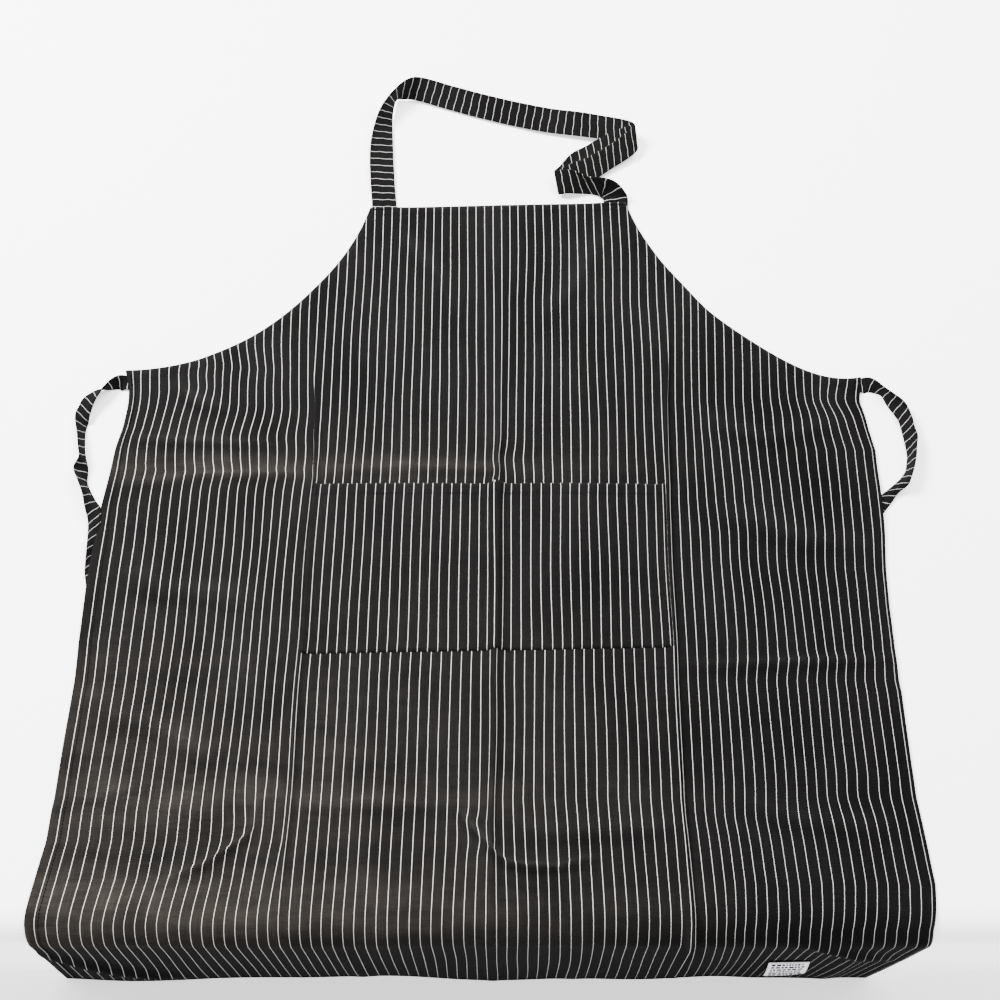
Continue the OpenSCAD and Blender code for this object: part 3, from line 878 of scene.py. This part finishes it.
def bar(cx, cy, half, rows, over=surf, vertical=False):
    """A dense bar of stitches."""
    out = []
    for i in range(rows):
        o = (i - (rows - 1) / 2) * 0.75
        if vertical:
            a, b = (cx + o, cy - half), (cx + o, cy + half)
        else:
            a, b = (cx - half, cy + o), (cx + half, cy + o)
        out += seam_on_cloth([a, b], pitch=1.9, length=1.8, over=over)
    return out


bars = [
    thread_piece("strap_end_bars", "strap_end_bartacks",
                 bar(-STRAP_X, BIB_Y - 3, 10, 3) + bar(STRAP_X, BIB_Y - 3, 10, 3), thread),
    thread_piece("left_tie_bar", "left_tie_bartack",
                 bar(LEFT_SIDE + 5, TIE_Y, 5.5, 3, vertical=True), thread),
    thread_piece("right_tie_bar", "right_tie_bartack",
                 bar(RIGHT_SIDE - 5, TIE_Y, 5.5, 3, vertical=True), thread),
]

# ---------------------------------------------------------------- strap and ties
# The three lists come from a scratch program that worked on positions seen in the photo, some changed by
# eye afterwards; see report.md.
# stations: x, y, height over the counter, direction across the band, and how far its edge is turned over
STRAP = [
    (-118, 274, 1.2, -10, 0, 0, 0), (-118, 286, 1.6, -10, 0, 0, 0), (-121, 318, 4, -10, 0, 1, 0),
    (-123, 356, 7, -9, -2, 3, 0), (-122, 386, 10, -7, -4, 6, 0), (-118, 408, 13, -4, -5, 8, 0),
    (-110, 425, 14, 0, -3, 10, 0), (-98, 433, 14, 3, 4, 9, 0), (-84, 434, 12, 3, 6, 7, 0),
    (-53, 423, 11, 3, 6, 7, 0), (-16, 410, 11, 2, 7, 7, 0), (16, 400, 11, 2, 7, 7, 0),
    (52, 391, 11, 2, 8, 6, 0), (78, 386, 12, 1, 8, 6, 0), (100, 382, 12, 0, 9, 5, 0),
    (128, 375, 13, 0, 9, 4, 0), (141, 367, 14, -1, 9, 5, 0), (135, 357, 14, -2, 8, 6, 0.4),
    (116, 343, 11, -1, 9, 5, 1), (101, 332, 10, -2, 9, 5, 1), (92, 326, 9, -2, 9, 5, 1),
    (77, 320, 8, -2, 9, 5, 0.8), (64, 313, 8, -2, 9, 5, 0.2), (58, 308, 10, -2, 9, 5, 0),
    (67, 307, 13, -2, 9, 5, 0), (78, 307, 12, -3, 7, 7, 0), (87, 305, 11.5, -4, 4, 8, 0),
    (96, 302, 11, -5, 4, 8, 0), (103, 300, 11, -1, 3, 9, 0), (110, 299, 9, 6, 2, 7, 0),
    (116, 295, 6, 9, 0, 4, 0), (118, 291, 4, 10, 1, 1, 0), (118, 284, 1.6, 10, 0, 0, 0),
    (118, 274, 1.2, 10, 0, 0, 0),
]
LEFT = [
    (-345, 70, 1.2, 0, 10, 0, 0), (-355, 71, 1.6, 0, 10, 0, 0), (-363, 67, 5, -1, 4, 9, 0),
    (-370, 62, 7, 0, -3, 10, 0), (-376, 58, 8, 3, -6, 7, 0), (-382, 51, 8, 5, -7, 4, 0),
    (-386, 43, 8, 7, -7, 1, 0), (-388, 34, 7, 7, -7, -2, 0), (-389, 25, 7, 5, -1, -8, 0),
    (-387, 12, 8, 2, 4, -9, 0), (-384, -4, 9, 1, 4, -9, 0), (-382, -14, 9, 1, 4, -9, 0),
    (-382, -26, 8, 6, 2, -7, 0), (-379, -38, 8, 3, 2, -9, 0), (-374, -49, 8, 2, 5, -9, 0),
    (-369, -61, 7, 4, 6, -7, 0), (-364, -72, 6, 6, 8, -2, 0), (-362, -87, 6, 6, 8, -2, 0),
    (-362, -102, 5, 4, 7, -5, 0), (-362, -113, 3, 4, 7, -3, 0), (-358, -130, 1.4, 8, 5, 0, 0),
    (-350, -156, 1.2, 10, 3, 0, 0), (-338, -185, 1.2, 10, 3, 0, 0), (-328, -220, 1.2, 10, 2, 0, 0),
    (-318, -270, 1.2, 10, 1, 0, 0), (-313, -330, 1.2, 10, 0, 0, 0), (-309, -376, 1.2, 10, 0, 0, 0),
    (-298, -392, 1.2, 0, 10, 0, 0), (-287, -376, 1.2, -10, 0, 0, 0), (-288, -320, 1.2, -10, 0, 0, 0),
    (-290, -260, 1.2, -10, 0, 0, 0), (-292, -195, 1.2, -10, 0, 0, 0),
]
RIGHT = [
    (332, 68, 1.2, 0, 10, 0, 0), (342, 68, 1.6, 0, 10, 0, 0), (348, 66, 4, 2, 7, 6, 0),
    (355, 61, 6, 4, 0, 9, 0), (361, 56, 8, 2, -2, 10, 0), (366, 48, 8, 3, 2, 9, 0),
    (371, 41, 8, 5, 4, 7, 0), (375, 33, 8, 6, 7, 5, 0), (377, 23, 8, 6, 6, 6, 0),
    (378, 13, 8, 5, 3, 8, 0), (379, 3, 8, 6, 4, 7, 0), (378, -7, 8, 4, 3, 9, 0),
    (376, -18, 8, 3, 0, 9, 0), (373, -28, 8, 2, -3, 9, 0), (367, -38, 8, 4, -4, 8, 0),
    (361, -44, 6, 9, -1, 5, 0), (353, -50, 4, 10, 1, 0, 0), (345, -58, 1.6, 10, -2, 0, 0),
    (334, -72, 1.2, 10, -2, 0, 0), (319, -92, 1.2, 9, -4, 0, 0), (303, -112, 1.2, 9, -4, 0, 0),
    (292, -140, 1.2, 10, -1, 0, 0), (288, -175, 1.2, 10, 0, 0, 0), (289, -240, 1.2, 10, 0, 0, 0),
    (293, -310, 1.2, 10, 1, 0, 0), (298, -372, 1.2, 10, 0, 0, 0), (287, -390, 1.2, 0, -10, 0, 0),
    (276, -372, 1.2, -10, 0, 0, 0), (271, -310, 1.2, -10, 0, 0, 0), (267, -240, 1.2, -10, 0, 0, 0),
    (265, -185, 1.2, -10, 0, 0, 0),
]


def smooth_route(route, steps):
    r = np.array(route, float)
    out = []
    for i in range(len(r) - 1):
        a, b, c, d = r[max(i - 1, 0)], r[i], r[i + 1], r[min(i + 2, len(r) - 1)]
        for j in range(steps):
            t = j / steps
            bend = (2 * a - 5 * b + 4 * c - d) * t * t
            out.append(0.5 * (2 * b + (c - a) * t + bend + (3 * b - a - 3 * c + d) * t**3))
    out.append(r[-1])
    return np.array(out)


def band_frame(route, steps):
    s = smooth_route(route, steps)
    mid = s[:, :3] + np.array([0, 0, COUNTER])
    tangent = np.gradient(mid, axis=0)
    tangent /= np.linalg.norm(tangent, axis=1)[:, None]
    across = s[:, 3:6] / np.linalg.norm(s[:, 3:6], axis=1)[:, None]
    face = np.cross(tangent, across)
    face /= np.linalg.norm(face, axis=1)[:, None]
    run = np.concatenate([[0], np.cumsum(np.linalg.norm(np.diff(mid, axis=0), axis=1))])
    return mid, across, face, run, np.clip(s[:, 6], 0, 1)


BAND_STEPS = 6           # rings between two stations


def band_section(width, thick, slid):
    """Points round a band of two layers, as (across, out, run) each. Where the stitching lets them slide,
    the outer layer stands out past the other by slid."""
    half, e, t = width / 2, 12.0 * slid, thick
    lift = 0.7 * slid
    out = [(x, t / 2 + lift + 0.1 * math.cos(math.pi * x / width), 4.3 * slid)
           for x in np.linspace(-half + t * 0.5, half + e - t * 0.5, 10)]
    out += [(half + e - t * 0.12, t * 0.30 + lift, 4.3 * slid), (half + e, lift + t * 0.1, 4.3 * slid),
            (half + e - t * 0.12, -t * 0.05 + lift, 4.3 * slid),
            (half + e * 0.5, lift * 0.8 - t * 0.1, 4.3 * slid),
            (half, -t * 0.18, 4.3 * slid), (half - t * 0.15, -t * 0.34, 0)]
    out += [(x, -t / 2 - 0.1 * math.cos(math.pi * x / width), 0)
            for x in np.linspace(half - t * 0.5, -half + t * 0.5, 9)]
    out += [(-half + t * 0.12, -t * 0.30, 0), (-half, 0.0, 0), (-half + t * 0.12, t * 0.30 + lift * 0.5, 0)]
    return out


def band_piece(node, route, width, thick, phase):
    """A band along its route with its row of stitches. node is the CAD piece that it stands for."""
    mid, across, face, run, turned = band_frame(route, BAND_STEPS)
    n = len(mid)
    ripple = 0.35 * np.sin(run / 11.0 + 1.0) + 0.25 * np.sin(run / 5.3 + 2.0)
    pts, uvs = [], []
    for i in range(n):
        section = band_section(width, thick, float(turned[i]))
        for a, z, slip in section:
            edge_wave = 0.25 * math.sin(run[i] / 7.0 + a * 0.4)
            out = z + edge_wave * abs(a) / width
            pts.append(mid[i] + across[i] * (a + 0.12 * ripple[i]) + face[i] * out)
            uvs.append((run[i] + phase + slip + 0.25 * math.sin(a * 0.5 + run[i] * 0.05), a))
    sides = len(section)
    ob = add_mesh(node + "_band", pts, tube_faces(n, sides), uvs, band_cloth)
    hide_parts(node)
    # one row of stitches near one edge
    line = []
    a = width / 2 - 2.0
    at = np.arange(6.0, run[-1] - 6.0, 2.7)
    for t in at:
        ends = []
        for s_ in (t - 0.95, t + 0.95):
            m_ = np.array([np.interp(s_, run, mid[:, k]) for k in range(3)])
            w_ = np.array([np.interp(s_, run, across[:, k]) for k in range(3)])
            f_ = np.array([np.interp(s_, run, face[:, k]) for k in range(3)])
            ends.append((m_ + w_ * a + f_ * (thick / 2 + 0.12), f_))
        if np.interp(t, run, turned) > 0.15:
            continue
        line.append((ends[0][0], ends[1][0], ends[0][1]))
    pts2, faces2 = stitches(line, 0.26)
    st = add_mesh(node + "_seam", pts2, faces2, None, thread)
    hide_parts(node + "_stitching")
    return ob, st, float(run[-1])


strap, strap_seam, strap_len = band_piece("neck_strap", STRAP, STRAP_W, 1.5, 2.0)
ltie, ltie_seam, ltie_len = band_piece("left_tie", LEFT, TIE_W, 1.4, 4.0)
rtie, rtie_seam, rtie_len = band_piece("right_tie", RIGHT, TIE_W, 1.4, 1.0)
for o in (strap, strap_seam):
    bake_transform(o)
for o in (ltie, ltie_seam):
    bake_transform(o)
for o in (rtie, rtie_seam):
    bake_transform(o)

# ---------------------------------------------------------------- care label
def label_point(a, b):
    """a across from the middle, b down from the seam."""
    lean = (a + 20) / 40 * 8.0 - 3.0
    y = LABEL_Y - 1.7 - 1.0 * math.sin(b / LABEL_H * 3.0) - 0.6 * math.cos(a / 9.0) * b / LABEL_H
    return (LABEL_X + a + 0.10 * b, y, LABEL_Z - b * (1.0 + 0.09 * (-a / 20)) + lean * 0.6)


rows_, cols_ = 16, 11
lab_pts, lab_uv = [], []
for i in range(rows_):
    for j in range(cols_):
        a, b = LABEL_W * (j / (cols_ - 1) - 0.5), LABEL_H * i / (rows_ - 1)
        lab_pts.append(label_point(a, b))
        lab_uv.append((a, b))
lab_faces = [(i * cols_ + j, (i + 1) * cols_ + j, (i + 1) * cols_ + j + 1, i * cols_ + j + 1)
             for i in range(rows_ - 1) for j in range(cols_ - 1)]
label = add_mesh("care_label_tape", lab_pts, lab_faces, lab_uv, tape)
thicken(label, 0.3)
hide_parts("care_label")
marks, mark_faces = [], []
for b in (6, 15, 24, 33, 42, 50):
    a = -13.5
    while a < 12.0:
        w = random.uniform(1.2, 4.0)
        w = min(w, 13.5 - a)
        base = len(marks)
        for aa, bb in ((a, b), (a + w, b), (a + w, b + 6.0), (a, b + 5.6)):
            x_, y_, z_ = label_point(aa, bb)
            marks.append((x_, y_ - 0.22, z_))
        mark_faces.append((base, base + 3, base + 2, base + 1))
        a += w + random.uniform(0.6, 1.2)
print_piece = add_mesh("care_label_print", marks, mark_faces, None, ink)
lab_st = []
for i in range(10):
    p = np.array(label_point(-14.2 + i * 2.9, 2.5)) + np.array([0, -0.3, 0])
    q = np.array(label_point(-14.2 + i * 2.9 + 2.0, 2.5)) + np.array([0, -0.3, 0])
    lab_st.append((p, q, (0, -1, 0)))
# a loose end of thread
tail = [np.array([258.0 + 3.2 * t, LABEL_Y - 4.6 - 0.5 * math.sin(t * 2),
                  36 - 2.0 * t + 2.0 * math.sin(t * 1.7)]) for t in np.linspace(0, 4, 14)]
for p, q in zip(tail, tail[1:]):
    lab_st.append((p, q, (0, -1, 0)))
lab_seam = thread_piece("care_label_seam", "care_label_stitching", lab_st, thread, None, 0.24)
for o in (label, print_piece, lab_seam):
    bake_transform(o)

# ---------------------------------------------------------------- counter, floor and light
pale = plain("pale_surface", (0.96, 0.96, 0.96), 0.95)
glow = pale.node_tree.nodes["Principled BSDF"].inputs
glow["Emission Color"].default_value = (1, 1, 1, 1)
glow["Emission Strength"].default_value = 0.9


def counter_piece():
    """A block with a rounded front edge that the cloth bends over."""
    r, front, back, wide = 24.6, -440.2, 900.0, 1600.0
    prof = [(back, 0.0), (back, COUNTER)]
    prof += [(front + r - r * math.sin(g), COUNTER - r + r * math.cos(g))
             for g in np.linspace(0, math.pi / 2, 12)]
    prof += [(front, 0.0)]
    pts = [(-wide, y, z) for y, z in prof] + [(wide, y, z) for y, z in prof]
    n = len(prof)
    faces = [(i, i + 1, n + i + 1, n + i) for i in range(n - 1)]
    faces += [tuple(range(n))[::-1], tuple(range(n, 2 * n))]
    return add_mesh("counter", pts, faces, None, pale, smooth=False)


counter = counter_piece()
FLOOR = 6000             # half the floor's width
floor_pts = [(-FLOOR, -FLOOR, -0.5), (FLOOR, -FLOOR, -0.5), (FLOOR, FLOOR, -0.5), (-FLOOR, FLOOR, -0.5)]
floor = add_mesh("floor", floor_pts, [(0, 1, 2, 3)], None, pale, smooth=False)

world = bpy.data.worlds.new("world")
scene.world = world
world.use_nodes = True
world.node_tree.nodes["Background"].inputs[0].default_value = (1, 1, 1, 1)
world.node_tree.nodes["Background"].inputs[1].default_value = 1.05


def area_light(name, where, aim, size, power):
    d = bpy.data.lights.new(name, "AREA")
    d.shape = "DISK"
    d.size = size
    d.energy = power
    o = bpy.data.objects.new(name, d)
    o.location = where
    o.rotation_euler = (Vector(aim) - Vector(where)).to_track_quat("-Z", "Y").to_euler()
    scene.collection.objects.link(o)
    return o


area_light("key", (-1.4, 0.8, 2.1), (0, 0, 0.16), 1.0, 300)
area_light("fill", (0.9, 0.9, 2.3), (0, 0, 0.16), 2.0, 150)
